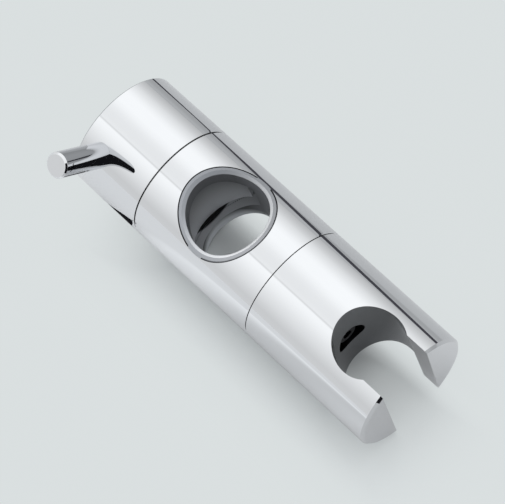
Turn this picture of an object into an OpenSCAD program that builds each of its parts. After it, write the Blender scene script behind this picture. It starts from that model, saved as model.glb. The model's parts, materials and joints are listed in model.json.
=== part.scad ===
// Shower rail slider: a turned-looking body that clamps on a round rail, with a
// locking knob and its lever on one end and a tilting hand-shower holder on the other.
// The rail runs along Z through the origin. The long axis is X, the holder is at +X.

/* [Body] */
// Outside diameter of the body, the knob and the holder
body_d = 40; // [38:0.5:46]
// Length of the body between the knob and the holder
body_len = 48; // [46:0.5:60]
// Chamfer on the outer edges of the three turned pieces
edge_chamfer = 0.35; // [0.1:0.05:0.6]
// Chamfer on the free end of the holder
end_chamfer = 0.8; // [0.4:0.1:1.5]

/* [Rail and liner] */
// Diameter of the round rail
rail_d = 25; // [22:0.5:25.5]
// Radial clearance between the rail and the liner
rail_gap = 0.1; // [0.05:0.05:0.3]
// Wall of the liner
liner_wall = 2.2; // [1.6:0.1:2.4]
// Gap round the liner in the body
liner_gap = 0.1; // [0.05:0.05:0.2]
// Width of the step inside the liner's lip
lip_step_w = 1; // [0.5:0.1:1.3]
// Depth of the step inside the liner's lip
lip_step_h = 0.7; // [0.3:0.1:1.2]

/* [Clamp] */
// How much wider than the rail's radius the clamp block's bore is
clamp_bore_over = 1.1; // [0.9:0.05:1.3]
// Radial clearance of the clamp block in its bore
clamp_gap = 0.08; // [0.05:0.01:0.2]
// How far the block stands off the rail when the knob is open
clamp_open = 3.5; // [2.5:0.1:3.6]
// How much wider than the rail the saddle is cut
saddle_relief = 0.5; // [0.1:0.1:0.6]
// Gap between the open block and the bearing plate
block_rest_gap = 0.4; // [0.2:0.1:1]
// How far the horns of the saddle reach past its middle
horn_reach = 8.5; // [6:0.5:10]
// Gap between the closed block's horns and the end of its bore
horn_end_gap = 0.3; // [0.2:0.1:1]
// Width of the block's side keys
key_w = 3; // [2:0.1:5]
// Height of the block's side keys
key_h = 1.1; // [0.6:0.1:1.4]
// Length of the block's side keys
key_len = 4.6; // [3:0.1:5]
// Diameter of the threaded spindle
spindle_d = 9.84; // [8:0.02:10]
// Diameter of the spindle's head in the block
spindle_head_d = 15; // [13:0.5:18]
// Thickness of the spindle's head, as a share of the block behind the saddle
spindle_head_share = 0.3; // [0.2:0.05:0.4]

/* [Bearing plate] */
// Thickness of the plate's flange
plate_t = 2.6; // [2:0.1:3]
// Diameter of the plate's flange
plate_d = 36.6; // [35.4:0.1:37]
// Outside diameter of the plate's sleeve
sleeve_d = 18; // [16:0.5:19]
// Length of the plate's sleeve
sleeve_len = 14.6; // [14:0.1:15]
// Clearance round the spindle in the sleeve
spindle_gap = 0.5; // [0.2:0.1:0.8]
// Distance from the clamp block's bore to the axis of the plate's screws
plate_screw_wall = 2; // [1.8:0.1:2.3]
// Diameter of the small screws
small_screw_d = 2.4; // [2:0.1:2.6]
// Head diameter of the small screws
small_head_d = 4.4; // [4:0.1:4.6]
// Distance from the tip of the plate's screws to the liner's seat
screw_tip_wall = 1.1; // [0.6:0.1:3]

/* [Knob] */
// Gap between the knob and the body
knob_seam = 0.5; // [0.3:0.05:0.8]
// Length of the knob
knob_len = 26.4; // [26.2:0.1:32]
// Wall of the knob's shell
knob_wall = 2.2; // [1.6:0.1:2.4]
// Thickness of the knob's end
knob_end_t = 2.4; // [1.8:0.1:2.6]
// Gap between the shell and its core
core_gap = 0.1; // [0.05:0.05:0.2]
// Length of the core's bearing on the sleeve
bearing_len = 11; // [9:0.5:11.5]
// Radial clearance of the bearing on the sleeve
bearing_gap = 0.05; // [0.02:0.01:0.1]
// Number of moulding pockets in the front of the core
pocket_count = 6; // [4:2:10]
// Wall inside and outside the pockets
pocket_wall = 1.8; // [1.4:0.1:2.4]
// Thickness of the ribs between the pockets
rib_t = 1.8; // [1.2:0.1:3]
// Floor behind the pockets
pocket_floor = 2; // [1.5:0.1:4]
// Thickness of the thrust washers
thrust_t = 1; // [0.8:0.1:1.1]
// Outside diameter of the thrust washer behind the knob
thrust_d = 34; // [28:0.5:35]
// Thickness of the retaining ring
ring_t = 0.9; // [0.7:0.1:1.1]
// Depth of the retaining ring's groove
ring_groove = 0.8; // [0.5:0.1:1]
// Diameter of the nut's barrel
nut_d = 25; // [24:0.1:26]
// Length of the nut's barrel
nut_len = 7; // [5:0.1:7.2]
// Diameter of the nut's flange
nut_flange_d = 34; // [33:0.5:34.5]
// Thickness of the nut's flange
nut_flange_t = 1.6; // [1.3:0.1:1.8]
// Pitch circle diameter of the nut's screws
nut_screw_pcd = 29; // [28.6:0.1:29.4]

/* [Lever] */
// Diameter of the lever
lever_d = 8; // [6:0.1:9]
// Distance from the knob's axis to the lever's end
lever_reach = 40; // [34:0.5:60]
// Distance from the knob's end to the lever's axis
lever_inset = 7.7; // [7:0.1:8]
// Angle of the lever round the body, from +Y towards +Z
lever_angle = 129.5; // [90:0.5:180]
// Bevel on the lever's end
lever_bevel = 0.6; // [0.2:0.1:1.2]
// Diameter of the lever's threaded spigot
spigot_d = 4; // [3:0.1:4.4]
// Diameter of the brass insert that the spigot screws into
insert_d = 6; // [5.6:0.1:6.2]

/* [Holder] */
// Gap between the holder and the body
holder_seam = 0.3; // [0.2:0.05:0.5]
// Length of the holder
holder_len = 48.6; // [46:0.1:60]
// Distance from the holder's end to the socket's axis
socket_inset = 14; // [12:0.1:16]
// Diameter of the socket at its narrow mouth, on top
socket_narrow_d = 21.6; // [20.5:0.1:22.4]
// Diameter of the socket at its wide mouth, underneath
socket_wide_d = 23.9; // [23:0.1:25]
// Width of the slot for the hose
slot_w = 17.8; // [15:0.1:19]
// Diameter of the recess for the screw's head
recess_d = 10.4; // [9.8:0.1:12]
// Depth from the socket's wall to the recess's floor
recess_depth = 5.3; // [5:0.1:6.5]
// Thickness of the holder's inner wall that the screw pulls on
web_t = 4.2; // [3:0.1:6]

/* [Pivot] */
// Diameter of the journal that the holder turns on
journal_d = 18; // [15:0.5:20]
// Radial clearance of the holder on the journal
journal_gap = 0.06; // [0.02:0.01:0.1]
// Width across flats of the pivot's hexagon
pivot_hex = 14; // [11:0.5:15]
// Wall between the liner's seat and the pivot's hexagon
hex_wall = 2.7; // [2:0.1:4]
// Diameter of the pivot's nose
nose_d = 7.4; // [6.6:0.1:7.8]
// Width across the flats on the nose
nose_flats = 6; // [5.4:0.1:6.4]
// Clearance between the journal's end and the holder's inner wall
journal_end_gap = 0.4; // [0.3:0.1:0.8]
// Thickness of the seam washer
seam_washer_t = 1; // [0.8:0.1:1.5]
// Outside diameter of the seam washer
seam_washer_d = 30; // [24:0.5:34]
// Section diameter of the friction ring
oring_t = 1.8; // [1.4:0.1:2]
// Thickness of the disc spring's sheet
spring_t = 0.5; // [0.3:0.05:0.6]
// Height of the disc spring's cone
spring_rise = 0.35; // [0.2:0.05:0.4]
// Thickness of the keyed washer
keyed_t = 1.2; // [0.8:0.1:1.4]
// Diameter of the fixing screw
screw_d = 4; // [3:0.1:4.2]
// Head diameter of the fixing screw
screw_head_d = 7.4; // [6.4:0.1:8]
// Head height of the fixing screw
screw_head_h = 2.4; // [1.8:0.1:2.5]
// Distance from the hexagon's inner end to the tip of the fixing screw
screw_tip_inset = 2.7; // [0.5:0.1:5]

/* [Hidden] */

fine = 128;
small = 48;
slack = 1;
touch = 0.02;
screw_count = 3;
screw_start = 90;

body_r = body_d / 2;
body_x = body_len / 2;

liner_bore_r = rail_d / 2 + rail_gap;
liner_r = liner_bore_r + liner_wall;
liner_seat_r = liner_r + liner_gap;
lip_step_r = liner_bore_r + lip_step_w;

clamp_bore_r = rail_d / 2 + clamp_bore_over;
block_r = clamp_bore_r - clamp_gap;
plate_x = -body_x + plate_t;
block_back_x = plate_x + block_rest_gap;
saddle_r = rail_d / 2 + saddle_relief;
saddle_x = -clamp_open - rail_d / 2 + saddle_r;
saddle_floor_x = saddle_x - saddle_r;
block_back = saddle_floor_x - block_back_x;
horn_x = saddle_floor_x + horn_reach;
clamp_bore_end_x = horn_x + clamp_open + horn_end_gap;
key_front_x = block_back_x + key_len;
keyway_end_x = key_front_x + clamp_open + 0.5;
spindle_r = spindle_d / 2;
spindle_head_t = block_back * spindle_head_share;
spindle_head_x = block_back_x + (block_back - spindle_head_t) / 2;

plate_r = plate_d / 2;
plate_screw_pcd = 2 * (clamp_bore_r + plate_screw_wall);
small_screw_len = body_x - liner_seat_r - screw_tip_wall;
plate_gap = 0.1;
sleeve_r = sleeve_d / 2;
sleeve_end_x = -body_x - sleeve_len;
sleeve_bore_r = spindle_r + spindle_gap;

washer_gap = 0.05;
thrust_r = thrust_d / 2;
knob_rim_x = -body_x - knob_seam;
knob_end_x = knob_rim_x - knob_len;
knob_bore_r = body_r - knob_wall;
knob_floor_x = knob_end_x + knob_end_t;
core_r = knob_bore_r - core_gap;
core_front_x = -body_x - thrust_t - washer_gap;
core_shoulder_x = core_front_x - bearing_len;
core_bearing_r = sleeve_r + bearing_gap;
ring_side_x = core_shoulder_x - washer_gap - thrust_t;
ring_groove_x = ring_side_x - washer_gap - ring_t;
ring_groove_r = sleeve_r - ring_groove;
ring_r = sleeve_r + 1.4;
ring_opening = 40;
nut_r = nut_d / 2;
nut_back_x = knob_floor_x + 0.3;
core_end_x = nut_back_x + nut_flange_t;
nut_front_x = core_end_x + nut_len;
core_ledge_r = nut_r - 1.3;
sleeve_washer_r = core_ledge_r - 0.2;
spindle_end_x = nut_back_x + 0.6;

lever_r = lever_d / 2;
lever_x = knob_end_x + lever_inset;
insert_r = insert_d / 2;
insert_top = core_r - 0.2;
insert_base = nut_r + 0.6;
spigot_r = spigot_d / 2;

holder_x = body_x + holder_seam;
holder_end_x = holder_x + holder_len;
socket_x = holder_end_x - socket_inset;
socket_narrow_r = socket_narrow_d / 2;
socket_wide_r = socket_wide_d / 2;
socket_mean_r = (socket_narrow_r + socket_wide_r) / 2;
socket_slope = (socket_wide_r - socket_narrow_r) / body_d;
recess_r = recess_d / 2;
recess_x = socket_x - socket_mean_r - recess_depth;
web_x = recess_x - web_t;

journal_r = journal_d / 2;
journal_end_x = web_x - journal_end_gap;
nose_r = nose_d / 2;
nose_gap = 0.06;
spring_x = recess_x + touch;
keyed_x = spring_x + spring_t + spring_rise + touch;
nose_end_x = keyed_x + keyed_t;
washer_r = recess_r - 0.25;
seam_washer_r = seam_washer_d / 2;
oring_r = oring_t / 2;
oring_x = (body_x + journal_end_x) / 2;
oring_centre_r = journal_r + journal_gap - oring_r - touch;
hex_x = liner_seat_r + hex_wall;
hex_len = body_x - hex_x;
hex_corner_r = pivot_hex / 2 / cos(30);
screw_r = screw_d / 2;
screw_head_r = screw_head_d / 2;
screw_tip_x = hex_x + screw_tip_inset;
screw_socket = 3;

chrome_colour = [0.88, 0.89, 0.91];
liner_colour = [0.62, 0.64, 0.67];
block_colour = [0.30, 0.31, 0.33];
core_colour = [0.16, 0.17, 0.18];
brass_colour = [0.80, 0.66, 0.38];
steel_colour = [0.62, 0.63, 0.65];
nylon_colour = [0.90, 0.90, 0.86];
rubber_colour = [0.08, 0.08, 0.09];

// A cylinder along X from one place to another
module along_x(from_x, to_x, r, facets = fine) {
    translate([from_x, 0, 0])
        rotate([0, 90, 0])
            cylinder(h = to_x - from_x, r = r, $fn = facets);
}

// A ring along X
module ring_x(from_x, to_x, outer, inner, facets = fine) {
    difference() {
        along_x(from_x, to_x, outer, facets);
        along_x(from_x - slack, to_x + slack, inner, facets);
    }
}

// A bar along X with both outer edges chamfered
module chamfered_bar(from_x, to_x, to_chamfer = edge_chamfer) {
    rotate([0, 90, 0])
        rotate_extrude($fn = fine)
            polygon([
                [0, from_x],
                [body_r - edge_chamfer, from_x],
                [body_r, from_x + edge_chamfer],
                [body_r, to_x - to_chamfer],
                [body_r - to_chamfer, to_x],
                [0, to_x]
            ]);
}

// Its children at each small screw on a pitch circle
module at_screws(pcd, start = screw_start) {
    for (i = [0 : screw_count - 1])
        rotate([start + i * 360 / screw_count, 0, 0])
            translate([0, pcd / 2, 0])
                children();
}

// A countersunk screw whose head is flush at a face that looks towards -X
module countersunk_screw(face_x) {
    head_h = (small_head_d - small_screw_d) / 2;
    difference() {
        rotate([0, 90, 0])
            rotate_extrude($fn = small)
                polygon([
                    [0, face_x],
                    [small_head_d / 2, face_x],
                    [small_screw_d / 2, face_x + head_h],
                    [small_screw_d / 2, face_x + small_screw_len],
                    [0, face_x + small_screw_len]
                ]);
        translate([face_x, 0, 0])
            rotate([0, 90, 0])
                cylinder(h = 1.6, r = 0.9, center = true, $fn = 6);
    }
}

// The hole for that screw, with a little room all round
module countersunk_hole(face_x, gap = touch) {
    head_h = (small_head_d - small_screw_d) / 2;
    rotate([0, 90, 0])
        rotate_extrude($fn = small)
            polygon([
                [0, face_x - slack],
                [small_head_d / 2 + gap, face_x - slack],
                [small_head_d / 2 + gap, face_x + gap],
                [small_screw_d / 2 + gap, face_x + head_h + gap],
                [small_screw_d / 2 + gap, face_x + small_screw_len + 0.5],
                [0, face_x + small_screw_len + 0.5]
            ]);
}

// Body: a thick tube that the rail passes through, open at the knob's end for the clamp
module body_shell() {
    color(chrome_colour)
        difference() {
            chamfered_bar(-body_x, body_x);
            cylinder(h = body_d + 2 * slack, r = liner_seat_r, center = true, $fn = fine);
            along_x(-body_x - slack, clamp_bore_end_x, clamp_bore_r);
            along_x(-body_x - slack, plate_x, plate_r + plate_gap);
            translate([(keyway_end_x - body_x - slack) / 2, 0, 0])
                cube([
                    keyway_end_x + body_x + slack,
                    2 * (block_r + key_h + clamp_gap),
                    key_w + 2 * clamp_gap
                ], center = true);
            at_screws(plate_screw_pcd)
                countersunk_hole(-body_x);
            translate([hex_x - 0.3, 0, 0])
                rotate([0, 90, 0])
                    cylinder(h = hex_len + slack, r = hex_corner_r + touch, $fn = 6);
        }
}

// Liner: a bush between the rail and the body, cut flush with the round of the body
module rail_liner() {
    color(liner_colour)
        difference() {
            intersection() {
                cylinder(h = body_d, r = liner_r, center = true, $fn = fine);
                along_x(-body_x, body_x, body_r);
            }
            cylinder(h = body_d + 2 * slack, r = liner_bore_r, center = true, $fn = fine);
            difference() {
                cylinder(h = body_d + 2 * slack, r = lip_step_r, center = true, $fn = fine);
                along_x(-body_x, body_x, body_r - lip_step_h);
            }
            along_x(-body_x, clamp_bore_end_x, clamp_bore_r);
        }
}

// Clamp block: a round plug with a saddle for the rail and a key on each side
module clamp_block() {
    color(block_colour)
        difference() {
            union() {
                along_x(block_back_x, horn_x, block_r);
                translate([(block_back_x + key_front_x) / 2, 0, 0])
                    cube([key_len, 2 * (block_r + key_h), key_w], center = true);
            }
            translate([saddle_x, 0, 0])
                cylinder(h = body_d, r = saddle_r, center = true, $fn = fine);
            along_x(
                spindle_head_x - touch,
                spindle_head_x + spindle_head_t + touch,
                spindle_head_d / 2 + touch
            );
            along_x(block_back_x - slack, spindle_head_x, spindle_r + touch);
        }
}

// Spindle: the threaded stud moulded into the block by its head
module clamp_spindle() {
    color(brass_colour)
        rotate([0, 90, 0])
            rotate_extrude($fn = fine)
                polygon([
                    [0, spindle_end_x],
                    [spindle_r - 0.6, spindle_end_x],
                    [spindle_r, spindle_end_x + 0.6],
                    [spindle_r, spindle_head_x],
                    [spindle_head_d / 2, spindle_head_x],
                    [spindle_head_d / 2, spindle_head_x + spindle_head_t],
                    [0, spindle_head_x + spindle_head_t]
                ]);
}

// Bearing plate: closes the clamp bore, its sleeve carries the turning knob
module bearing_plate() {
    color(steel_colour)
        difference() {
            union() {
                along_x(-body_x, plate_x, plate_r);
                along_x(sleeve_end_x, -body_x + slack, sleeve_r);
            }
            along_x(sleeve_end_x - slack, plate_x + slack, sleeve_bore_r);
            ring_x(ring_groove_x - touch, ring_side_x, sleeve_r + slack, ring_groove_r);
            at_screws(plate_screw_pcd)
                countersunk_hole(-body_x);
        }
}

module plate_screws() {
    color(steel_colour)
        at_screws(plate_screw_pcd)
            countersunk_screw(-body_x);
}

module thrust_washer() {
    color(nylon_colour)
        ring_x(-body_x - thrust_t, -body_x, thrust_r, core_bearing_r + 0.15);
}

module sleeve_washer() {
    color(nylon_colour)
        ring_x(
            ring_side_x,
            core_shoulder_x - washer_gap,
            sleeve_washer_r,
            core_bearing_r + 0.05
        );
}

// Retaining ring: an open spring ring in the sleeve's groove, with an eye at each end
module retaining_ring() {
    eye_r = 1.1;
    eye_at = ring_r - 0.6;
    color(steel_colour)
        difference() {
            union() {
                ring_x(ring_groove_x, ring_side_x - washer_gap, ring_r, ring_groove_r + 0.05);
                for (side = [-1, 1])
                    rotate([side * (ring_opening / 2 + 7), 0, 0])
                        translate([0, eye_at, 0])
                            along_x(ring_groove_x, ring_side_x - washer_gap, eye_r, small);
            }
            along_x(ring_groove_x - slack, ring_side_x + slack, ring_groove_r + 0.05);
            for (side = [-1, 1])
                rotate([side * (ring_opening / 2 + 7), 0, 0])
                    translate([0, eye_at, 0])
                        along_x(ring_groove_x - slack, ring_side_x + slack, 0.5, small);
            translate([ring_groove_x - slack, 0, 0])
                rotate([90, 0, 90])
                    linear_extrude(height = ring_t + 2 * slack)
                        polygon([
                            [0, 0],
                            [2 * ring_r * cos(ring_opening / 2), -2 * ring_r * sin(ring_opening / 2)],
                            [2 * ring_r * cos(ring_opening / 2), 2 * ring_r * sin(ring_opening / 2)]
                        ]);
        }
}

// Knob shell: a deep cup over the core, with a hole for the lever's spigot
module knob_shell() {
    color(chrome_colour)
        difference() {
            chamfered_bar(knob_end_x, knob_rim_x);
            along_x(knob_floor_x, knob_rim_x + slack, knob_bore_r);
            at_lever()
                cylinder(h = body_d, r = spigot_r + 0.1, $fn = small);
        }
}

// The moulding pockets between the core's bearing and its rim, with ribs between them
module core_pockets() {
    difference() {
        ring_x(
            core_shoulder_x + pocket_floor,
            core_front_x + slack,
            core_r - pocket_wall,
            core_bearing_r + pocket_wall
        );
        for (i = [0 : pocket_count / 2 - 1])
            rotate([lever_angle + i * 360 / pocket_count, 0, 0])
                translate([core_shoulder_x, -body_r, -rib_t / 2])
                    cube([bearing_len + 2 * slack, body_d, rib_t]);
    }
}

// Knob core: runs on the sleeve, holds the nut and the lever's insert
module knob_core() {
    color(core_colour)
        difference() {
            along_x(core_end_x, core_front_x, core_r);
            along_x(core_end_x - slack, core_front_x + slack, core_bearing_r);
            along_x(core_end_x - slack, core_shoulder_x, core_ledge_r);
            along_x(core_end_x - slack, nut_front_x, nut_r + touch);
            core_pockets();
            at_lever()
                translate([0, 0, nut_r])
                    cylinder(h = body_r, r = insert_r + touch, $fn = small);
            at_screws(nut_screw_pcd, lever_angle + 60)
                countersunk_hole(core_end_x - nut_flange_t);
        }
}

// Nut: a flanged brass nut screwed to the back of the core
module spindle_nut() {
    color(brass_colour)
        difference() {
            union() {
                along_x(nut_back_x, core_end_x, nut_flange_d / 2);
                along_x(nut_back_x, nut_front_x, nut_r);
            }
            along_x(nut_back_x - slack, nut_front_x + slack, spindle_r + bearing_gap);
            at_screws(nut_screw_pcd, lever_angle + 60)
                countersunk_hole(nut_back_x);
        }
}

module nut_screws() {
    color(steel_colour)
        at_screws(nut_screw_pcd, lever_angle + 60)
            countersunk_screw(nut_back_x);
}

// Its children with +Z turned into the lever's own direction
module at_lever() {
    translate([lever_x, 0, 0])
        rotate([lever_angle - 90, 0, 0])
            children();
}

// Lever: a plain round pin whose foot follows the knob, with a threaded spigot
module lever() {
    color(chrome_colour)
        at_lever()
            difference() {
                rotate_extrude($fn = 64)
                    polygon([
                        [0, insert_base + 0.3],
                        [spigot_r - 0.5, insert_base + 0.3],
                        [spigot_r, insert_base + 0.8],
                        [spigot_r, body_r - 1],
                        [lever_r, body_r - 1],
                        [lever_r, lever_reach - lever_bevel],
                        [lever_r - lever_bevel, lever_reach],
                        [0, lever_reach]
                    ]);
                difference() {
                    along_x(-body_r, body_r, body_r + touch);
                    cylinder(h = body_d, r = spigot_r, $fn = 64);
                }
            }
}

module lever_insert() {
    color(brass_colour)
        at_lever()
            difference() {
                translate([0, 0, insert_base])
                    cylinder(h = insert_top - insert_base, r = insert_r, $fn = small);
                cylinder(h = body_r, r = spigot_r + touch, $fn = small);
            }
}

// Pivot hub: a hexagon in the body, a journal for the holder and a keyed nose
module pivot_hub() {
    color(brass_colour)
        difference() {
            union() {
                translate([hex_x, 0, 0])
                    rotate([0, 90, 0])
                        cylinder(h = hex_len + slack, r = hex_corner_r, $fn = 6);
                along_x(body_x, journal_end_x, journal_r);
                along_x(journal_end_x - slack, keyed_x, nose_r);
                intersection() {
                    along_x(keyed_x - slack, nose_end_x, nose_r);
                    translate([nose_end_x - 5, -nose_r, -nose_flats / 2])
                        cube([5, 2 * nose_r, nose_flats]);
                }
            }
            along_x(hex_x - slack, nose_end_x + slack, screw_r + touch, small);
            ring_x(
                oring_x - oring_r - 0.1,
                oring_x + oring_r + 0.1,
                journal_r + slack,
                oring_centre_r - oring_r - touch
            );
        }
}

module friction_ring() {
    color(rubber_colour)
        translate([oring_x, 0, 0])
            rotate([0, 90, 0])
                rotate_extrude($fn = fine)
                    translate([oring_centre_r, 0])
                        circle(r = oring_r, $fn = small);
}

module seam_washer() {
    color(nylon_colour)
        ring_x(
            body_x,
            body_x + seam_washer_t,
            seam_washer_r,
            journal_r + 0.1
        );
}

// Holder: a bar with a tapered socket, open to the end through the hose's slot
module holder_shell() {
    color(chrome_colour)
        difference() {
            chamfered_bar(holder_x, holder_end_x, end_chamfer);
            translate([socket_x, 0, 0])
                cylinder(
                    h = body_d + 2 * slack,
                    r1 = socket_wide_r + slack * socket_slope,
                    r2 = socket_narrow_r - slack * socket_slope,
                    center = true,
                    $fn = fine
                );
            translate([socket_x, -slot_w / 2, -body_r - slack])
                cube([socket_inset + slack, slot_w, body_d + 2 * slack]);
            along_x(recess_x, socket_x, recess_r, small);
            along_x(web_x - slack, recess_x + slack, nose_r + nose_gap, small);
            along_x(holder_x - slack, web_x, journal_r + journal_gap);
            along_x(
                holder_x - slack,
                body_x + seam_washer_t + washer_gap,
                seam_washer_r + 0.2
            );
        }
}

// Disc spring: a thin cone between the holder's inner wall and the keyed washer
module disc_spring() {
    color(steel_colour)
        rotate([0, 90, 0])
            rotate_extrude($fn = small)
                polygon([
                    [nose_r + 0.15, spring_x + spring_rise],
                    [washer_r, spring_x],
                    [washer_r, spring_x + spring_t],
                    [nose_r + 0.15, spring_x + spring_rise + spring_t]
                ]);
}

module keyed_washer() {
    color(steel_colour)
        difference() {
            along_x(keyed_x, nose_end_x, washer_r, small);
            intersection() {
                along_x(keyed_x - slack, nose_end_x + slack, nose_r + touch, small);
                translate([keyed_x - slack, -body_r, -nose_flats / 2 - touch])
                    cube([keyed_t + 2 * slack, body_d, nose_flats + 2 * touch]);
            }
        }
}

// Fixing screw, with a hexagon socket in its head
module holder_screw() {
    color(steel_colour)
        difference() {
            rotate([0, 90, 0])
                rotate_extrude($fn = small)
                    polygon([
                        [0, screw_tip_x],
                        [screw_r - 0.5, screw_tip_x],
                        [screw_r, screw_tip_x + 0.5],
                        [screw_r, nose_end_x],
                        [screw_head_r, nose_end_x],
                        [screw_head_r, nose_end_x + screw_head_h - 0.5],
                        [screw_head_r - 0.5, nose_end_x + screw_head_h],
                        [0, nose_end_x + screw_head_h]
                    ]);
            translate([nose_end_x + screw_head_h * 0.35, 0, 0])
                rotate([0, 90, 0])
                    cylinder(h = screw_head_h, r = screw_socket / 2 / cos(30), $fn = 6);
        }
}

body_shell();
rail_liner();
clamp_block();
clamp_spindle();
bearing_plate();
plate_screws();
thrust_washer();
sleeve_washer();
retaining_ring();
knob_shell();
knob_core();
spindle_nut();
nut_screws();
lever();
lever_insert();
pivot_hub();
friction_ring();
seam_washer();
holder_shell();
disc_spring();
keyed_washer();
holder_screw();
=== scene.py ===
import json
import math

import bpy
import numpy as np
from mathutils import Matrix, Vector

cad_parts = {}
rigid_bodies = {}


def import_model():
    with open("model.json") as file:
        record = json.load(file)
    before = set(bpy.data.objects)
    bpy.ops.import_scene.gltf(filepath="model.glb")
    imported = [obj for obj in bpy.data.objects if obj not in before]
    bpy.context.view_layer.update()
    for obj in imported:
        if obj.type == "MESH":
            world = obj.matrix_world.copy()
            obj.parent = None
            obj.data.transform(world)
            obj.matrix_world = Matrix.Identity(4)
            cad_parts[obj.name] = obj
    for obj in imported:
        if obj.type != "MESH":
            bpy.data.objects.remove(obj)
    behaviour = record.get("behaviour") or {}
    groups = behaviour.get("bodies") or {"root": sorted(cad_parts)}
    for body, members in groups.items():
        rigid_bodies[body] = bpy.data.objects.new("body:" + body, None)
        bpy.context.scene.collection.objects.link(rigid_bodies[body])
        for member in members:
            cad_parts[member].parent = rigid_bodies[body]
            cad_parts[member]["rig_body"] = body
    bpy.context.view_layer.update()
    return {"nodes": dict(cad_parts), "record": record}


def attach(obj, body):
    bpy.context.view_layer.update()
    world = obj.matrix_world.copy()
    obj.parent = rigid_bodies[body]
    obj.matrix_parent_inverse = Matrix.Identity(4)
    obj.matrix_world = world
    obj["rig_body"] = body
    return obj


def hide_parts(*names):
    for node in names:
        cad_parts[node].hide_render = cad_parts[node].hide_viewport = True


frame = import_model()
nodes = frame["nodes"]

MM = 0.001

# Sizes of the CAD model that the finishing works from
BODY_R = 20 * MM
BODY_X = 24 * MM
KNOB_RIM_X = -24.5 * MM
KNOB_END_X = -50.9 * MM
KNOB_FLOOR_X = -48.5 * MM
KNOB_BORE_R = 17.8 * MM
HOLDER_X = 24.3 * MM
HOLDER_END_X = 72.9 * MM
HOLDER_CHAMFER = 0.8 * MM
SOCKET_X = 58.9 * MM
SOCKET_MEAN_R = 11.375 * MM
SOCKET_SLOPE = -1.15 / 40
SLOT_HALF = 8.9 * MM
RECESS_R = 5.2 * MM
RECESS_X = 42.2 * MM
JOURNAL_BORE_R = 9.06 * MM
CLAMP_BORE_R = 13.6 * MM
LINER_BORE_R = 12.6 * MM
LINER_R = 14.8 * MM
LINER_SEAT_R = 14.9 * MM
LIP_STEP_R = 13.6 * MM
LIP_FLOOR_R = 19.3 * MM
BLOCK_R = 13.52 * MM
SADDLE_R = 13.0 * MM
SADDLE_X = -3.0 * MM
BLOCK_FRONT_X = -7.5 * MM
BLOCK_BACK_X = -21.0 * MM
LEVER_X = -43.2 * MM
LEVER_R = 4.0 * MM
LEVER_REACH = 40 * MM
LEVER_ANGLE = math.radians(129.5)
FLOOR_Z = -BODY_R

# Bevels that the finishing adds inside those sizes
LIP_BEVEL_H = 1.1 * MM
LIP_OUTER_R = 14.5 * MM
LIP_OUTER_H = 1.5 * MM
LEVER_BEVEL = 0.7 * MM

X_AXIS = np.array([1.0, 0.0, 0.0])
Y_AXIS = np.array([0.0, 1.0, 0.0])
Z_AXIS = np.array([0.0, 0.0, 1.0])
CENTRE = np.zeros(3)
LEVER_AXIS = np.array([0.0, math.cos(LEVER_ANGLE), math.sin(LEVER_ANGLE)])
LEVER_FOOT = np.array([LEVER_X, 0.0, 0.0])


# True surfaces: the exact rounds, cones and flats that the CAD triangles approximate

class Round:
    """A cylinder, or a cone where slope isn't 0. side is 1 outside solid and -1 in a bore."""

    def __init__(self, origin, axis, radius, side=1, slope=0.0):
        self.origin = origin
        self.axis = axis
        self.radius = radius
        self.side = side
        self.slope = slope

    def split(self, points):
        along = (points - self.origin) @ self.axis
        radial = points - self.origin - along[..., None] * self.axis
        rho = np.maximum(np.linalg.norm(radial, axis=-1, keepdims=True), TINY)
        return along, radial / rho

    def snap(self, points):
        along, out = self.split(points)
        reach = (self.radius + self.slope * along)[..., None]
        return self.origin + along[..., None] * self.axis + reach * out

    def normal(self, points):
        out = self.split(points)[1] - self.slope * self.axis
        return self.side * out / math.sqrt(1 + self.slope ** 2)


class Flat:
    """A plane with its outward normal."""

    def __init__(self, point, normal):
        self.point = point
        self.direction = normal

    def snap(self, points):
        return points - ((points - self.point) @ self.direction)[..., None] * self.direction

    def normal(self, points):
        return np.broadcast_to(self.direction, points.shape)


def round_x(radius, side=1):
    return Round(CENTRE, X_AXIS, radius, side)


def round_z(x, radius, side=1, slope=0.0):
    return Round(x * X_AXIS, Z_AXIS, radius, side, slope)


def flat_x(x, side):
    return Flat(x * X_AXIS, side * X_AXIS)


def flat_y(y, side):
    return Flat(y * Y_AXIS, side * Y_AXIS)


# A triangle's tag is the number of its true surface, -1 for none, or SOFT where it was reshaped
SOFT = -2
ON_SURFACE = 0.02 * MM
SAME_WAY = 0.93
SOFT_EDGE = 0.6
EDGE_REACH = 0.4 * MM
WELD = 0.001 * MM
SNAP_ROUNDS = 3
REFINE_ROUNDS = 2
TINY = 1e-9
TINY_AREA = 1e-18


def welded(mesh):
    """The points and triangles of a CAD mesh, with the doubled points at its edges joined."""
    mesh.calc_loop_triangles()
    points = np.empty(len(mesh.vertices) * 3, np.float32)
    mesh.vertices.foreach_get("co", points)
    triangles = np.empty(len(mesh.loop_triangles) * 3, np.int32)
    mesh.loop_triangles.foreach_get("vertices", triangles)
    points = points.reshape(-1, 3).astype(float)
    unique, index = np.unique(np.round(points / WELD), axis=0, return_inverse=True)
    triangles = index.reshape(-1)[triangles.reshape(-1, 3)]
    kept = (triangles[:, 0] != triangles[:, 1]) & (triangles[:, 1] != triangles[:, 2])
    kept &= triangles[:, 2] != triangles[:, 0]
    return unique * WELD, triangles[kept]


def face_normals(points, triangles):
    a, b, c = (points[triangles[:, i]] for i in range(3))
    cross = np.cross(b - a, c - a)
    return cross / np.maximum(np.linalg.norm(cross, axis=1, keepdims=True), TINY_AREA)


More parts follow.
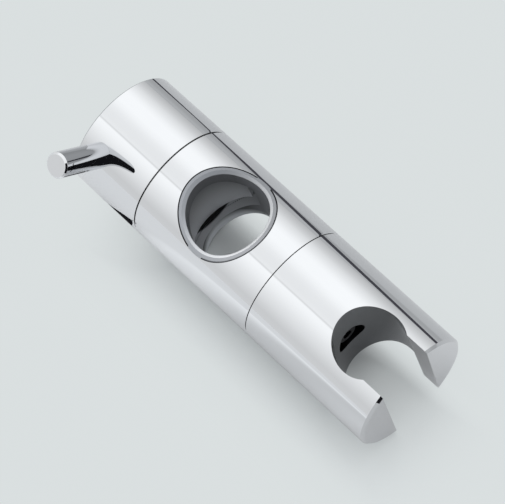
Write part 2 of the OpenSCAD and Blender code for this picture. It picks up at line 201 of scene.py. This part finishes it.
def surface_of_each(points, triangles, surfaces):
    """For each triangle, the number of the true surface that it lies on, or -1."""
    tags = np.full(len(triangles), -1)
    facing = face_normals(points, triangles)
    centres = points[triangles].mean(1)
    for number, surface in enumerate(surfaces):
        near = np.linalg.norm(surface.snap(points) - points, axis=1) < ON_SURFACE
        agrees = (surface.normal(centres) * facing).sum(1) > SAME_WAY
        tags[near[triangles].all(1) & agrees & (tags < 0)] = number
    return tags


def refined(points, triangles, tags, surfaces):
    """Each triangle cut in four, with the new points moved onto the true surfaces."""
    sides = np.sort(triangles[:, [[0, 1], [1, 2], [2, 0]]].reshape(-1, 2), axis=1)
    edges, index = np.unique(sides, axis=0, return_inverse=True)
    index = index.reshape(-1, 3)
    middle = points[edges].mean(1)
    for _ in range(SNAP_ROUNDS):
        for number, surface in enumerate(surfaces):
            touched = np.unique(index[tags == number])
            middle[touched] = surface.snap(middle[touched])
    a, b, c = triangles.T
    ab, bc, ca = index.T + len(points)
    cut = [(a, ab, ca), (ab, b, bc), (ca, bc, c), (ab, bc, ca)]
    made = np.stack([np.stack(t, 1) for t in cut], 1).reshape(-1, 3)
    return np.vstack([points, middle]), made, np.repeat(tags, 4)


def averaged_normals(points, triangles, facing):
    """At each corner, the mean of the faces that meet there."""
    total = np.zeros_like(points)
    for corner in range(3):
        np.add.at(total, triangles[:, corner], facing)
    total /= np.maximum(np.linalg.norm(total, axis=1, keepdims=True), TINY)
    return total[triangles]


def at_end(points, triangles, end):
    """Which triangles lie wholly beside one place along X."""
    return (np.abs(points[triangles][:, :, 0] - end) < EDGE_REACH).all(1)


def corner_normals(points, triangles, tags, surfaces, crisp):
    """The true normal at each corner. Chamfers between two surfaces take up both, so they read as
    rounded, and those at the ends in crisp take up the first surface."""
    facing = face_normals(points, triangles)
    normals = np.repeat(facing[:, None, :], 3, axis=1)
    soft = tags == SOFT
    normals[soft] = averaged_normals(points, triangles[soft], facing[soft])
    best = np.full((len(triangles), 3), SOFT_EDGE)
    loose = tags < 0
    for number, surface in enumerate(surfaces):
        own = tags == number
        if not own.any():
            continue
        normals[own] = surface.normal(points[triangles[own]])
        on_it = np.zeros(len(points), bool)
        on_it[triangles[own]] = True
        there = surface.normal(points[triangles])
        agrees = (there * facing[:, None, :]).sum(2)
        better = on_it[triangles] & loose[:, None] & (agrees > best)
        normals[better] = there[better]
        best[better] = agrees[better]
    first = surfaces[0].normal(points[triangles])
    agrees = (first * facing[:, None, :]).sum(2) > SOFT_EDGE
    for end in crisp:
        taken = agrees & (loose & at_end(points, triangles, end))[:, None]
        normals[taken] = first[taken]
    return normals


def placed(name, data):
    """A new object in the scene."""
    thing = bpy.data.objects.new(name, data)
    bpy.context.scene.collection.objects.link(thing)
    return thing


def finished(name, node, surfaces, shape=None, special=None, crisp=(), edges=None):
    """A piece with the shape of a CAD node, finer and with exact normals, that stands for it.
    shape may move points and change tags. special gives the material of some surfaces by their number,
    and edges that of the small chamfers by their place along X. At the places in crisp, the small
    chamfer is shaded as part of the first surface."""
    special, edges = special or {}, edges or {}
    points, triangles = welded(nodes[node].data)
    tags = surface_of_each(points, triangles, surfaces)
    for _ in range(REFINE_ROUNDS):
        points, triangles, tags = refined(points, triangles, tags, surfaces)
    own_tags = tags.copy()
    if shape:
        points, tags = shape(points, triangles, tags)
    mesh = bpy.data.meshes.new(name)
    mesh.from_pydata(points.tolist(), [], triangles.tolist())
    mesh.polygons.foreach_set("use_smooth", [True] * len(mesh.polygons))
    finish_index = np.zeros(len(triangles), np.int32)
    for place, number in enumerate(special, 1):
        finish_index[own_tags == number] = place
    for place, end in enumerate(edges, 1 + len(special)):
        finish_index[at_end(points, triangles, end) & (own_tags < 0)] = place
    mesh.polygons.foreach_set("material_index", finish_index)
    normals = corner_normals(points, triangles, tags, surfaces, crisp).reshape(-1, 3)
    mesh.normals_split_custom_set(normals.tolist())
    piece = placed(name, mesh)
    body = nodes[node]["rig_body"]
    slot = slot_of[node]
    for finish in (slot, *special.values(), *edges.values()):
        mesh.materials.append(materials[finish])
    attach(piece, body)
    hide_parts(node)


# Materials

class Nodes:
    """A node tree, with short calls to add to it."""

    def __init__(self, tree, coordinates):
        self.tree = tree
        self.place = self.add("ShaderNodeTexCoord").outputs[coordinates]

    def add(self, kind, **settings):
        node = self.tree.nodes.new(kind)
        for key, value in settings.items():
            setattr(node, key, value)
        return node

    def link(self, a, b):
        self.tree.links.new(a, b)

    def put(self, value, socket):
        """Gives a socket a number or a colour, or links another node's output to it."""
        if isinstance(value, bpy.types.NodeSocket):
            self.link(value, socket)
        elif socket.type == "RGBA":
            socket.default_value = (*value, 1)
        else:
            socket.default_value = value

    def axes(self):
        """The X, Y and Z of the place."""
        node = self.add("ShaderNodeSeparateXYZ")
        self.link(self.place, node.inputs["Vector"])
        return node.outputs

    def maths(self, operation, a, b):
        node = self.add("ShaderNodeMath", operation=operation)
        self.put(a, node.inputs[0])
        self.put(b, node.inputs[1])
        return node.outputs[0]

    def noise(self, scale, detail=2.0, stretch=(1, 1, 1)):
        mapping = self.add("ShaderNodeMapping")
        mapping.inputs["Scale"].default_value = stretch
        self.link(self.place, mapping.inputs["Vector"])
        node = self.add("ShaderNodeTexNoise")
        node.inputs["Scale"].default_value = scale
        node.inputs["Detail"].default_value = detail
        self.link(mapping.outputs["Vector"], node.inputs["Vector"])
        return node.outputs["Fac"]

    def spread(self, factor, low, high, from_low=0.3, from_high=0.7, kind="LINEAR"):
        """The factor carried from one range of numbers to another."""
        node = self.add("ShaderNodeMapRange", interpolation_type=kind)
        node.inputs["From Min"].default_value = from_low
        node.inputs["From Max"].default_value = from_high
        node.inputs["To Min"].default_value = low
        node.inputs["To Max"].default_value = high
        self.link(factor, node.inputs["Value"])
        return node.outputs["Result"]

    def blend(self, factor, low, high):
        """A colour between two others."""
        node = self.add("ShaderNodeMix", data_type="RGBA")
        self.link(factor, node.inputs["Factor"])
        self.put(low, node.inputs["A"])
        self.put(high, node.inputs["B"])
        return node.outputs["Result"]

    def dimmed(self, colour, axis, reach, start, end):
        """The colour scaled from start to end along one axis."""
        scaled = self.add("ShaderNodeVectorMath", operation="SCALE")
        self.put(colour, scaled.inputs[0])
        self.link(self.spread(self.axes()[axis], start, end, *reach), scaled.inputs["Scale"])
        return scaled.outputs[0]

    def levels(self, value, stops, tint=(1, 1, 1)):
        """A colour ramp through stops given as (value, level)."""
        low, high = stops[0][0], stops[-1][0]
        ramp = self.add("ShaderNodeValToRGB")
        self.link(self.spread(value, 0, 1, low, high), ramp.inputs[0])
        elements = ramp.color_ramp.elements
        while len(elements) < len(stops):
            elements.new(0.5)
        for element, (place, _) in zip(elements, stops):
            element.position = (place - low) / (high - low)
        for element, (_, level) in zip(elements, stops):
            element.color = (*(level * t for t in tint), 1)
        return ramp.outputs["Color"]


RELIEF = 0.02 * MM


class Finish(Nodes):
    """The nodes of a new material."""

    def __init__(self, name):
        self.material = bpy.data.materials.new(name)
        self.material.use_nodes = True
        super().__init__(self.material.node_tree, "Object")
        self.shader = self.tree.nodes["Principled BSDF"]

    def bump(self, height, strength):
        node = self.add("ShaderNodeBump")
        node.inputs["Strength"].default_value = strength
        node.inputs["Distance"].default_value = RELIEF
        self.link(height, node.inputs["Height"])
        self.link(node.outputs["Normal"], self.shader.inputs["Normal"])


ROUND_X = (1, 0.03, 0.03)
LINE_STRENGTH = 0.25
MOTTLE = 120.0
FINE_GRAIN = 2200.0
COARSE_GRAIN = 3000.0
SATIN_SPECULAR = 0.2
SATIN_ROUGH = (0.3, 0.42)
SATIN_STRENGTH = 0.12


def metal(name, dark, light, rough, haze=40.0, lines=None, fade=None):
    """Polished or turned metal: soft patches in its colour and gloss, and turned lines round X where
    asked. fade dims it along an axis, as painted shade: (axis, reach, start, end)."""
    made = Finish(name)
    patches = made.noise(haze, 3.0)
    made.shader.inputs["Metallic"].default_value = 1.0
    tone = made.blend(made.spread(patches, 0, 1), dark, light)
    if fade:
        tone = made.dimmed(tone, *fade)
    made.link(tone, made.shader.inputs["Base Color"])
    made.link(made.spread(patches, *rough), made.shader.inputs["Roughness"])
    if lines:
        made.bump(made.noise(lines, 4.0, ROUND_X), LINE_STRENGTH)
    return made.material


def plastic(name, dark, light, rough, grain=FINE_GRAIN, strength=0.15):
    """Moulded plastic: a faint mottle in the colour and a fine grain."""
    made = Finish(name)
    mottle = made.noise(MOTTLE, 4.0)
    fine = made.noise(grain)
    made.link(made.blend(made.spread(mottle, 0, 1), dark, light), made.shader.inputs["Base Color"])
    made.link(made.spread(fine, *rough), made.shader.inputs["Roughness"])
    made.bump(fine, strength)
    return made.material


def shaded_plastic(name, axis, reach, low, high, fade=None, fade_low=True):
    """Moulded plastic whose tone is painted light and shade: it goes from low at the start of reach to high
    at its end, along one axis. fade dims it along a second one, as in metal, or its high tone alone without
    fade_low."""
    made = Finish(name)
    along = made.spread(made.axes()[axis], 0, 1, *reach)
    if fade:
        high = made.dimmed(high, *fade)
        low = made.dimmed(low, *fade) if fade_low else low
    made.link(made.blend(along, low, high), made.shader.inputs["Base Color"])
    made.shader.inputs["Specular IOR Level"].default_value = SATIN_SPECULAR
    fine = made.noise(FINE_GRAIN)
    made.link(made.spread(fine, *SATIN_ROUGH), made.shader.inputs["Roughness"])
    made.bump(fine, SATIN_STRENGTH)
    return made.material


materials = {
    "chrome": metal("chrome", (0.875, 0.885, 0.9), (0.89, 0.9, 0.915), (0.015, 0.035)),
    # Painted shade: the liner's own finish, on the top of its lip, is a little darker towards -X and dims
    # towards +Y.
    "liner_plastic": shaded_plastic(
        "liner_plastic", "X", (-10 * MM, 9 * MM), (0.355, 0.37, 0.395), (0.4, 0.41, 0.43),
        ("Y", (-10 * MM, 10 * MM), 1.0, 0.72),
    ),
    # Painted light and shade: the clamp plug runs from pale at the bottom to near black at the top.
    "clamp_plastic": shaded_plastic(
        "clamp_plastic", "Z", (-10 * MM, 9 * MM), (0.8, 0.815, 0.84), (0.045, 0.048, 0.053)
    ),
    "core_plastic": plastic("core_plastic", (0.02, 0.021, 0.023), (0.03, 0.031, 0.034), (0.5, 0.62)),
    "nylon": plastic("nylon", (0.68, 0.68, 0.63), (0.76, 0.76, 0.71), (0.35, 0.45)),
    "rubber": plastic("rubber", (0.01, 0.01, 0.011), (0.018, 0.018, 0.02), (0.6, 0.75), COARSE_GRAIN, 0.3),
    "brass": metal("brass", (0.62, 0.43, 0.16), (0.7, 0.5, 0.2), (0.18, 0.3), 60.0, 5000.0),
    "steel": metal("steel", (0.36, 0.37, 0.39), (0.45, 0.46, 0.48), (0.22, 0.34), 80.0, 6000.0),
}
# Painted shade: the socket's wall is a dim metal, darker than the chrome, and brighter towards the slot at
# +X.
materials["socket_wall_painted_shade"] = metal(
    "socket_wall_painted_shade", (0.33, 0.345, 0.36), (0.38, 0.395, 0.41), (0.12, 0.2),
    fade=("X", (60 * MM, 69 * MM), 0.72, 1.35),
)
# Painted shade: the lever's round side is a dimmer chrome, so its reflections are darker.
materials["lever_painted_shade"] = metal("lever_painted_shade", (0.58, 0.59, 0.61), (0.62, 0.63, 0.65), (0.02, 0.045))
# Painted shade: the small chamfer round the knob's end is a dark metal that draws a grey line.
materials["knob_end_painted_shade"] = metal("knob_end_painted_shade", (0.36, 0.37, 0.385), (0.42, 0.43, 0.445), (0.1, 0.18))
# Painted shade: near black for the pocket in the holder round its screw, where shade falls.
materials["recess"] = metal("recess", (0.02, 0.02, 0.022), (0.035, 0.036, 0.04), (0.3, 0.45))
# Painted shadow and shade: the clamp bore's walls are black beyond about x = -14 mm and grey elsewhere, a
# little darker upwards.
materials["gap"] = shaded_plastic(
    "gap", "Z", (-13 * MM, -5 * MM), (0.4, 0.41, 0.43), (0.28, 0.288, 0.3),
    ("X", (-14.3 * MM, -13.8 * MM), 0.02, 1.0),
)
# Painted light and shade: the liner's bore wall is pale at the bottom and dark above, darkest towards -X.
materials["liner_wall"] = shaded_plastic(
    "liner_wall", "Z", (-16 * MM, -12 * MM), (0.8, 0.82, 0.85), (0.26, 0.27, 0.29),
    ("X", (-8 * MM, 2 * MM), 0.3, 1.0), fade_low=False,
)
# Painted light and shade: the lip's bevel is dark towards -X, pale towards +X and dimmer towards +Y.
materials["liner_lip_painted_shade"] = shaded_plastic(
    "liner_lip_painted_shade", "X", (-10 * MM, 10 * MM), (0.34, 0.355, 0.38), (0.92, 0.93, 0.95),
    ("Y", (-10 * MM, 10 * MM), 1.0, 0.72),
)
# Painted shade in part: the washer, spring and screw in the holder's pocket take its near black, which also
# stands for blackened steel.
dark_nodes = ("keyed_washer", "disc_spring", "holder_screw")
slot_of = {part["node"]: part["material_slot"] for part in frame["record"]["subparts"]}

for name, node in nodes.items():
    node.data.materials.clear()
    node.data.materials.append(materials["recess" if name in dark_nodes else slot_of[name]])


# Finished pieces

LIP_WALL, LIP_FLOOR, OUTER_WALL = 2, 3, 4


def bevelled_lip(points, triangles, tags):
    """Turns the square step inside the liner's lip into one bevel, and eases the lip's outer edge."""
    wall, floor, outer = (np.unique(triangles[tags == t]) for t in (LIP_WALL, LIP_FLOOR, OUTER_WALL))
    rho = np.maximum(np.hypot(points[:, 0], points[:, 1]), TINY)
    depth = BODY_R - np.hypot(points[:, 1], points[:, 2])
    step_w, step_h = LIP_STEP_R - LINER_BORE_R, BODY_R - LIP_FLOOR_R
    share = np.full(len(points), -1.0)
    share[wall] = 0.5 * depth[wall] / step_h
    share[floor] = 0.5 + 0.5 * (LIP_STEP_R - rho[floor]) / step_w
    bevel = share >= 0
    share = np.clip(share, 0, 1)
    made = points.copy()
    made[bevel, :2] *= ((LIP_STEP_R - step_w * share) / rho)[bevel, None]
    reach = np.sqrt(np.maximum((BODY_R - LIP_BEVEL_H * share) ** 2 - made[:, 1] ** 2, 0))
    made[bevel, 2] = (np.sign(points[:, 2]) * reach)[bevel]
    eased = np.clip(1 - depth[outer] / LIP_OUTER_H, 0, 1)
    made[outer, :2] *= (1 - eased * (LINER_R - LIP_OUTER_R) / rho[outer])[:, None]
    on_top = outer[depth[outer] < ON_SURFACE]
    made[on_top, 2] = np.sign(points[on_top, 2]) * np.sqrt(BODY_R ** 2 - made[on_top, 1] ** 2)
    tags = tags.copy()
    tags[(tags == LIP_WALL) | (tags == LIP_FLOOR)] = SOFT
    return made, tags


LEVER_ROUND = Round(LEVER_FOOT, LEVER_AXIS, LEVER_R)
LEVER_SIDE, LEVER_END = 0, 1


def bevelled_end(points, triangles, tags):
    """Widens the small bevel round the lever's free end."""
    end = np.unique(triangles[tags == LEVER_END])
    along, out = LEVER_ROUND.split(points[end])
    foot = LEVER_FOOT + along[:, None] * LEVER_AXIS
    rho = np.linalg.norm(points[end] - foot, axis=1)
    made = points.copy()
    made[end] = foot + np.minimum(rho, LEVER_R - LEVER_BEVEL)[:, None] * out
    return made, tags


# The clamp bore in the body takes the painted shadow of the clamp bore's walls.
finished("chrome_body", "body_shell", [
    round_x(BODY_R),
    flat_x(BODY_X, 1),
    flat_x(-BODY_X, -1),
    round_z(0, LINER_SEAT_R, -1),
    round_x(CLAMP_BORE_R, -1),
], special={4: "gap"}, crisp=(-BODY_X, BODY_X))
# The chamfer at the knob's end takes a painted shade.
finished("chrome_knob", "knob_shell", [
    round_x(BODY_R),
    flat_x(KNOB_END_X, -1),
    flat_x(KNOB_RIM_X, 1),
    round_x(KNOB_BORE_R, -1),
    flat_x(KNOB_FLOOR_X, 1),
], crisp=(KNOB_RIM_X,), edges={KNOB_END_X: "knob_end_painted_shade"})
# The socket's wall and the screw pocket take painted shade.
finished("chrome_holder", "holder_shell", [
    round_x(BODY_R),
    flat_x(HOLDER_END_X, 1),
    flat_x(HOLDER_X, -1),
    round_z(SOCKET_X, SOCKET_MEAN_R, -1, SOCKET_SLOPE),
    flat_y(SLOT_HALF, -1),
    flat_y(-SLOT_HALF, 1),
    round_x(RECESS_R, -1),
    flat_x(RECESS_X, 1),
    round_x(JOURNAL_BORE_R, -1),
    Round(CENTRE, X_AXIS, BODY_R + HOLDER_END_X - HOLDER_CHAMFER, 1, -1.0),
], special={3: "socket_wall_painted_shade", 6: "recess", 7: "recess"}, crisp=(HOLDER_X,))
# The lever's round side takes a painted shade.
finished("chrome_lever", "lever", [
    LEVER_ROUND,
    Flat(LEVER_FOOT + LEVER_REACH * LEVER_AXIS, LEVER_AXIS),
], shape=bevelled_end, special={LEVER_SIDE: "lever_painted_shade"})
# The liner's bore wall, lip bevel and clamp-bore window take painted light, shade and shadow.
finished("grey_liner", "rail_liner", [
    round_x(BODY_R),
    round_z(0, LINER_BORE_R, -1),
    round_z(0, LIP_STEP_R, -1),
    round_x(LIP_FLOOR_R),
    round_z(0, LINER_R),
    round_x(CLAMP_BORE_R, -1),
], shape=bevelled_lip, special={1: "liner_wall", 2: "liner_lip_painted_shade", 3: "liner_lip_painted_shade", 5: "gap"})
# The plug's own finish carries painted light and shade.
finished("clamp_plug", "clamp_block", [
    round_x(BLOCK_R),
    round_z(SADDLE_X, SADDLE_R, -1),
    flat_x(BLOCK_FRONT_X, 1),
    flat_x(BLOCK_BACK_X, -1),
])


# Floor, world and cards

def card(name, corners, colour):
    """A studio card that only the shiny surfaces see."""
    mesh = bpy.data.meshes.new(name)
    mesh.from_pydata([Vector(c) for c in corners], [], [range(len(corners))])
    made = Finish(name)
    made.shader.inputs["Base Color"].default_value = (0, 0, 0, 1)
    made.shader.inputs["Specular IOR Level"].default_value = 0
    made.shader.inputs["Emission Color"].default_value = (*colour, 1)
    made.shader.inputs["Emission Strength"].default_value = 1.0
    mesh.materials.append(made.material)
    thing = placed(name, mesh)
    thing.visible_camera = False
    thing.visible_diffuse = False
    thing.visible_shadow = False


FLOOR_HALF = 3.0
FLOOR_COLOUR = (0.63, 0.657, 0.662)
BACKGROUND = (0.7, 0.74, 0.745)
BLACK = (0.01, 0.01, 0.012)
# Painted reflection, the floor's colour in the chrome alone: (distance towards +Y in metres, brightness)
FLOOR_MIRRORED = [
    (0.0, 0.68), (0.02, 0.64), (0.036, 0.51), (0.049, 0.47), (0.067, 0.445), (0.095, 0.43), (0.11, 0.34),
    (0.15, 0.345), (0.25, 0.39), (0.37, 0.41), (0.5, 0.41),
]
FLOOR_MIRRORED_TINT = (0.975, 0.99, 1.005)
# Painted reflection and shade: its brightness in the chrome on the near side, up to y = 0, dimmer towards
# the holder end at +X: (distance along X in metres, factor)
FLOOR_NEAR = [
    (-0.065, 0.95), (-0.036, 0.97), (-0.031, 1.07), (-0.026, 1.12), (-0.01, 1.03), (0.005, 0.86),
    (0.013, 0.79), (0.03, 0.77), (0.055, 0.83), (0.085, 0.66),
]
# Painted light: how much the floor glows in the plain backdrop's colour for the camera, lightening its
# shadow; where it is low the shadow stays, so the shadow's shape is painted by place. By y and by x:
# (metres, share)
FLOOR_GLOW_Y = [
    (-0.045, 1.0), (-0.033, 0.85), (-0.03, 0.62), (-0.024, 0.27), (-0.02, 0.17), (-0.015, 0.06),
    (-0.002, 0.02), (0.0, 0.05), (0.002, 0.12), (0.005, 0.38), (0.008, 0.75), (0.0115, 0.92),
    (0.016, 0.88), (0.022, 0.9), (0.03, 0.95), (0.06, 1.0),
]
FLOOR_GLOW_X = [
    (-0.06, 1.0), (-0.045, 0.92), (-0.03, 0.62), (-0.012, 0.0), (0.046, 0.0), (0.057, 0.26), (0.076, 0.34),
    (0.095, 0.85), (0.12, 1.0),
]


# Where the far side takes over from the near side, by y in metres
FLOOR_TURN = (0, 0.03)


def make_floor():
    """A pale satin table. The camera sees its shadow lightened by painted light, a glow in the backdrop's
    colour.
    In the chrome its colour is a painted reflection that falls off towards +Y."""
    mesh = bpy.data.meshes.new("floor")
    corners = [(-1, -1), (1, -1), (1, 1), (-1, 1)]
    mesh.from_pydata([(FLOOR_HALF * x, FLOOR_HALF * y, FLOOR_Z) for x, y in corners], [], [range(4)])
    made = Finish("floor")
    axes = made.axes()
    path = made.add("ShaderNodeLightPath").outputs

    # Painted reflection: the floor's colour as the chrome sees it.
    mirrored = made.levels(axes["Y"], FLOOR_MIRRORED, FLOOR_MIRRORED_TINT)
    near = made.add("ShaderNodeVectorMath", operation="MULTIPLY")
    made.link(mirrored, near.inputs[0])
    made.link(made.levels(axes["X"], FLOOR_NEAR), near.inputs[1])
    far_side = made.spread(axes["Y"], 0, 1, *FLOOR_TURN)
    in_chrome = made.blend(far_side, near.outputs[0], mirrored)
    seen = made.blend(path["Is Glossy Ray"], FLOOR_COLOUR, in_chrome)

    # Painted light: the floor glows for the camera, more or less by place.
    glow = made.maths("MAXIMUM", made.levels(axes["Y"], FLOOR_GLOW_Y), made.levels(axes["X"], FLOOR_GLOW_X))
    share = made.maths("MULTIPLY", glow, path["Is Camera Ray"])
    made.link(made.blend(share, seen, (0, 0, 0)), made.shader.inputs["Base Color"])
    made.shader.inputs["Emission Color"].default_value = (*BACKGROUND, 1)
    made.link(share, made.shader.inputs["Emission Strength"])
    made.shader.inputs["Roughness"].default_value = 0.5
    made.shader.inputs["Specular IOR Level"].default_value = 0
    mesh.materials.append(made.material)
    thing = placed("floor", mesh)


# The studio round the long axis: (angle from straight up towards +Y in degrees, brightness)
STUDIO = [
    (-180, 0.45), (-120, 0.6), (-92, 0.68), (-78, 0.66), (-68, 0.73), (-57, 0.82), (-47, 0.89),
    (-37, 0.97), (-28, 1.03), (-20, 1.06), (-18.8, 0.8), (-17.2, 0.8), (-16, 0.93), (-8, 0.9),
    (2, 0.91), (10, 0.95), (18, 1.02), (27, 1.07), (45, 1.07), (52, 1.02), (58, 0.95), (63, 0.89),
    (69, 0.82), (75, 0.72), (81, 0.64), (88, 0.56), (96, 0.47), (120, 0.5), (180, 0.55),
]
STUDIO_TINT = (0.975, 0.99, 1.0)
SIDE_LEVEL = 0.78
SIDE_REACH = (0.7, 0.97)
FLAG_DIRECTION = Vector((0.8, -0.46, 0.4)).normalized()
FLAG_EDGE = math.cos(math.radians(44))
KEY_ENERGY = 0.7
KEY_SPREAD = math.radians(40)
KEY_DIRECTION = Vector((0.08, -0.12, -1))


def make_world():
    """A soft studio: bright overhead, grey towards the horizon, with one black flag. The camera sees a
    plain backdrop."""
    world = bpy.data.worlds.new("studio")
    bpy.context.scene.world = world
    world.use_nodes = True
    world.node_tree.nodes.clear()
    made = Nodes(world.node_tree, "Generated")
    axes = made.axes()
    path = made.add("ShaderNodeLightPath").outputs

    turn = made.maths("ARCTAN2", axes["Y"], axes["Z"])
    around = made.levels(made.maths("MULTIPLY", turn, math.degrees(1)), STUDIO, STUDIO_TINT)
    sideways = made.spread(made.maths("ABSOLUTE", axes["X"], 0), 0, 1, *SIDE_REACH, "SMOOTHSTEP")
    levelled = made.blend(sideways, around, tuple(SIDE_LEVEL * t for t in STUDIO_TINT))

    towards = made.add("ShaderNodeVectorMath", operation="DOT_PRODUCT")
    made.link(made.place, towards.inputs[0])
    towards.inputs[1].default_value = FLAG_DIRECTION
    inside = made.maths("GREATER_THAN", towards.outputs["Value"], FLAG_EDGE)
    in_flag = made.maths("MULTIPLY", inside, path["Is Glossy Ray"])
    flagged = made.blend(in_flag, levelled, BLACK)

    background = made.add("ShaderNodeBackground")
    made.link(made.blend(path["Is Camera Ray"], flagged, BACKGROUND), background.inputs["Color"])
    made.link(background.outputs[0], made.add("ShaderNodeOutputWorld").inputs["Surface"])


def make_key_light():
    """A broad soft light from above, for the shadow on the floor. It leaves the reflections alone."""
    lamp = bpy.data.lights.new("key", "SUN")
    lamp.energy = KEY_ENERGY
    lamp.angle = KEY_SPREAD
    thing = placed("key", lamp)
    thing.rotation_mode = "QUATERNION"
    thing.rotation_quaternion = KEY_DIRECTION.to_track_quat("-Z", "Y")
    thing.visible_glossy = False


make_floor()
make_world()
make_key_light()

# The dark edge beside the table, which draws the line along the far side of the chrome
EDGE_Y = 100 * MM
EDGE_LINE = [(-150, -50), (150, 33.4), (150, 37), (-13, 1.1), (-110, -33.4)]
EDGE_ON_FLOOR = [(-110, 72), (-40, 97), (-40, 100), (-110, 100)]
EDGE_TONE = (0.06, 0.06, 0.07)
JUST_ABOVE = FLOOR_Z + 0.1 * MM
card("edge_card", [(x * MM, EDGE_Y, z * MM) for x, z in EDGE_LINE], EDGE_TONE)
card("edge_floor_card", [(x * MM, y * MM, JUST_ABOVE) for x, y in EDGE_ON_FLOOR], EDGE_TONE)

# Painted shade: a black sheet on the floor under the knob's near side, seen only in the chrome as a dark
# patch
UNDER_KNOB = [(-46, -21), (-37.5, -41), (-34.5, -21)]
card("under_knob_shade_card", [(x * MM, y * MM, JUST_ABOVE) for x, y in UNDER_KNOB], BLACK)

# Camera at the photograph's place
CAMERA_PLACE = Vector((0.24608, -0.08309, 0.62478))
CAMERA_FORWARD = Vector((-0.35409, 0.12180, -0.92724))
CAMERA_UP = Vector((-0.63212, 0.69953, 0.33328))
PHOTO_WIDTH = 505
FOCAL_PIXELS = 2259
SENSOR = 36.0
CLIP_START = 0.01

camera = bpy.data.cameras.new("camera")
camera.sensor_width = SENSOR
camera.lens = FOCAL_PIXELS / PHOTO_WIDTH * SENSOR
camera.clip_start = CLIP_START
camera_thing = placed("camera", camera)
sideways = CAMERA_FORWARD.cross(CAMERA_UP).normalized()
upwards = sideways.cross(CAMERA_FORWARD).normalized()
turned = Matrix((sideways, upwards, -CAMERA_FORWARD.normalized())).transposed()
camera_thing.matrix_world = Matrix.Translation(CAMERA_PLACE) @ turned.to_4x4()
bpy.context.scene.camera = camera_thing
bpy.context.scene.view_settings.view_transform = "Standard"
